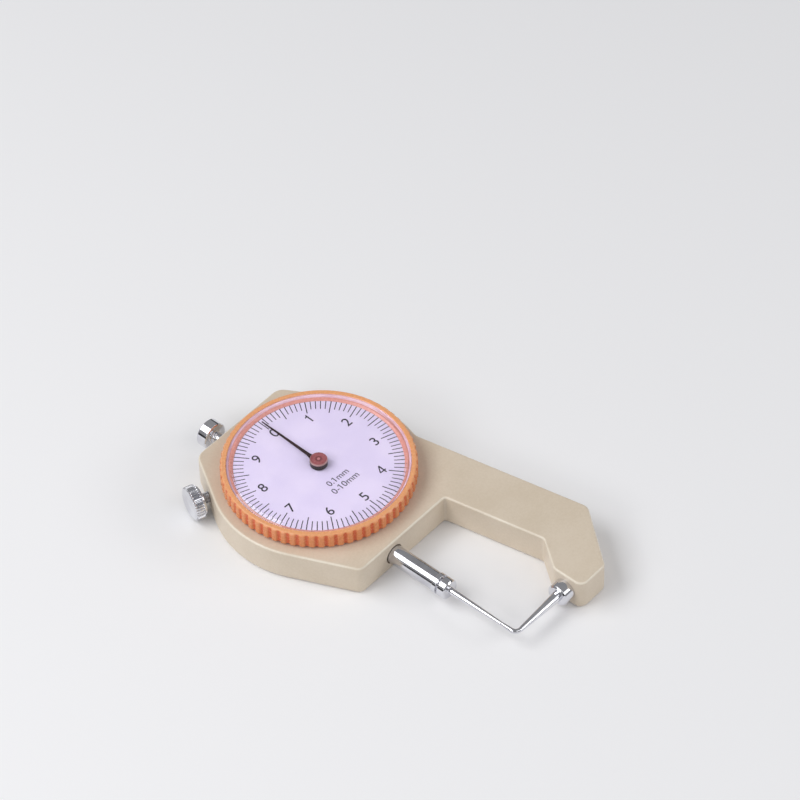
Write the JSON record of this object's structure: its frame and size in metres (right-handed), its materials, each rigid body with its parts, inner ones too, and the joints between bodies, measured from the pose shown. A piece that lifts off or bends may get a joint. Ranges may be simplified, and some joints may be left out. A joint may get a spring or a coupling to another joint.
{
  "type": "dial thickness gauge",
  "caption": "pocket dial thickness gauge with a painted throat frame, sprung spindle, needle points, fluted orange bezel, domed crystal and knurled lock screw",
  "frame": {"origin": "on the dial axis, in the plane of the flat back", "axes": "+Z comes out of the dial, +Y runs along the spindle to the lift knob, +X points to the arm"},
  "size_m": [0.0604, 0.1052, 0.016],
  "materials": {
    "frame_paint": "satin beige paint with a fine texture",
    "bezel_orange": "moulded, smooth top ring over rounded flutes",
    "clear_crystal": "clear domed window, polished",
    "dial_white": "matt pale lacquer with printed black scale",
    "pointer_black": "matt black lacquer",
    "hub_brown": "brown-red lacquer, turned",
    "bright_chrome": "bright plated, lightly turned",
    "ground_steel": "ground",
    "screw_steel": "plain",
    "spring_steel": "drawn wire",
    "blued_spring": "blued strip",
    "bush_brass": "turned",
    "cover_metal": "fine brushed"
  },
  "bodies": {
    "frame": {"frame": "frame_paint", "back_cover": "cover_metal", "cover_screws": "screw_steel", "upper_bush": "bush_brass", "lower_bush": "bush_brass", "arbor_bush": "bush_brass", "lower_bridge": "bush_brass", "bridge_screws": "screw_steel", "hairspring": "blued_spring", "hairspring_stud": "bush_brass", "spring_post": "screw_steel", "return_spring": "spring_steel", "guide_rail": "ground_steel", "rail_screws": "screw_steel", "anvil_post": "bright_chrome", "anvil_point": "bright_chrome", "bezel_snap_ring": "spring_steel"},
    "spindle": {"spindle": "ground_steel", "rack": "ground_steel", "needle_point": "bright_chrome", "lift_knob": "bright_chrome", "guide_pin": "ground_steel"},
    "pointer": {"arbor": "ground_steel", "pinion": "bush_brass", "pointer_hub": "hub_brown", "pointer": "pointer_black", "hairspring_collet": "bush_brass"},
    "bezel": {"bezel": "bezel_orange", "crystal": "clear_crystal", "dial_plate": "dial_white"},
    "lock_pad": {"lock_pad": "bush_brass"},
    "lock_screw": {"lock_screw": "bright_chrome"}
  },
  "joints": [
    {"name": "spindle_lift", "type": "slide", "parent": "frame", "child": "spindle", "axis": [0, 1, 0], "range_m": [0, 0.01], "stiffness_N_per_m": 100, "springref_m": -0.01, "deforming": ["return_spring"]},
    {"name": "pointer_spin", "type": "hinge", "parent": "frame", "child": "pointer", "pos_m": [0, 0, 0.0045], "axis": [0, 0, 1], "range_deg": [-362, 1], "deforming": ["hairspring"]},
    {"name": "bezel_turn", "type": "hinge", "parent": "frame", "child": "bezel", "pos_m": [0, 0, 0.0102], "axis": [0, 0, 1], "continuous": true},
    {"name": "lock_feed", "type": "slide", "parent": "frame", "child": "lock_pad", "axis": [0.9397, -0.342, 0], "range_m": [-0.001, 0.00014]},
    {"name": "lock_turn", "type": "hinge", "parent": "lock_pad", "child": "lock_screw", "pos_m": [-0.01979, 0.01852, 0.0045], "axis": [0.9397, -0.342, 0], "range_deg": [-725, 104]}
  ],
  "couplings": [
    {"joint": "pointer_spin", "follows": "spindle_lift", "rad_per_m": -628.32},
    {"joint": "lock_turn", "follows": "lock_feed", "rad_per_m": 12566}
  ]
}
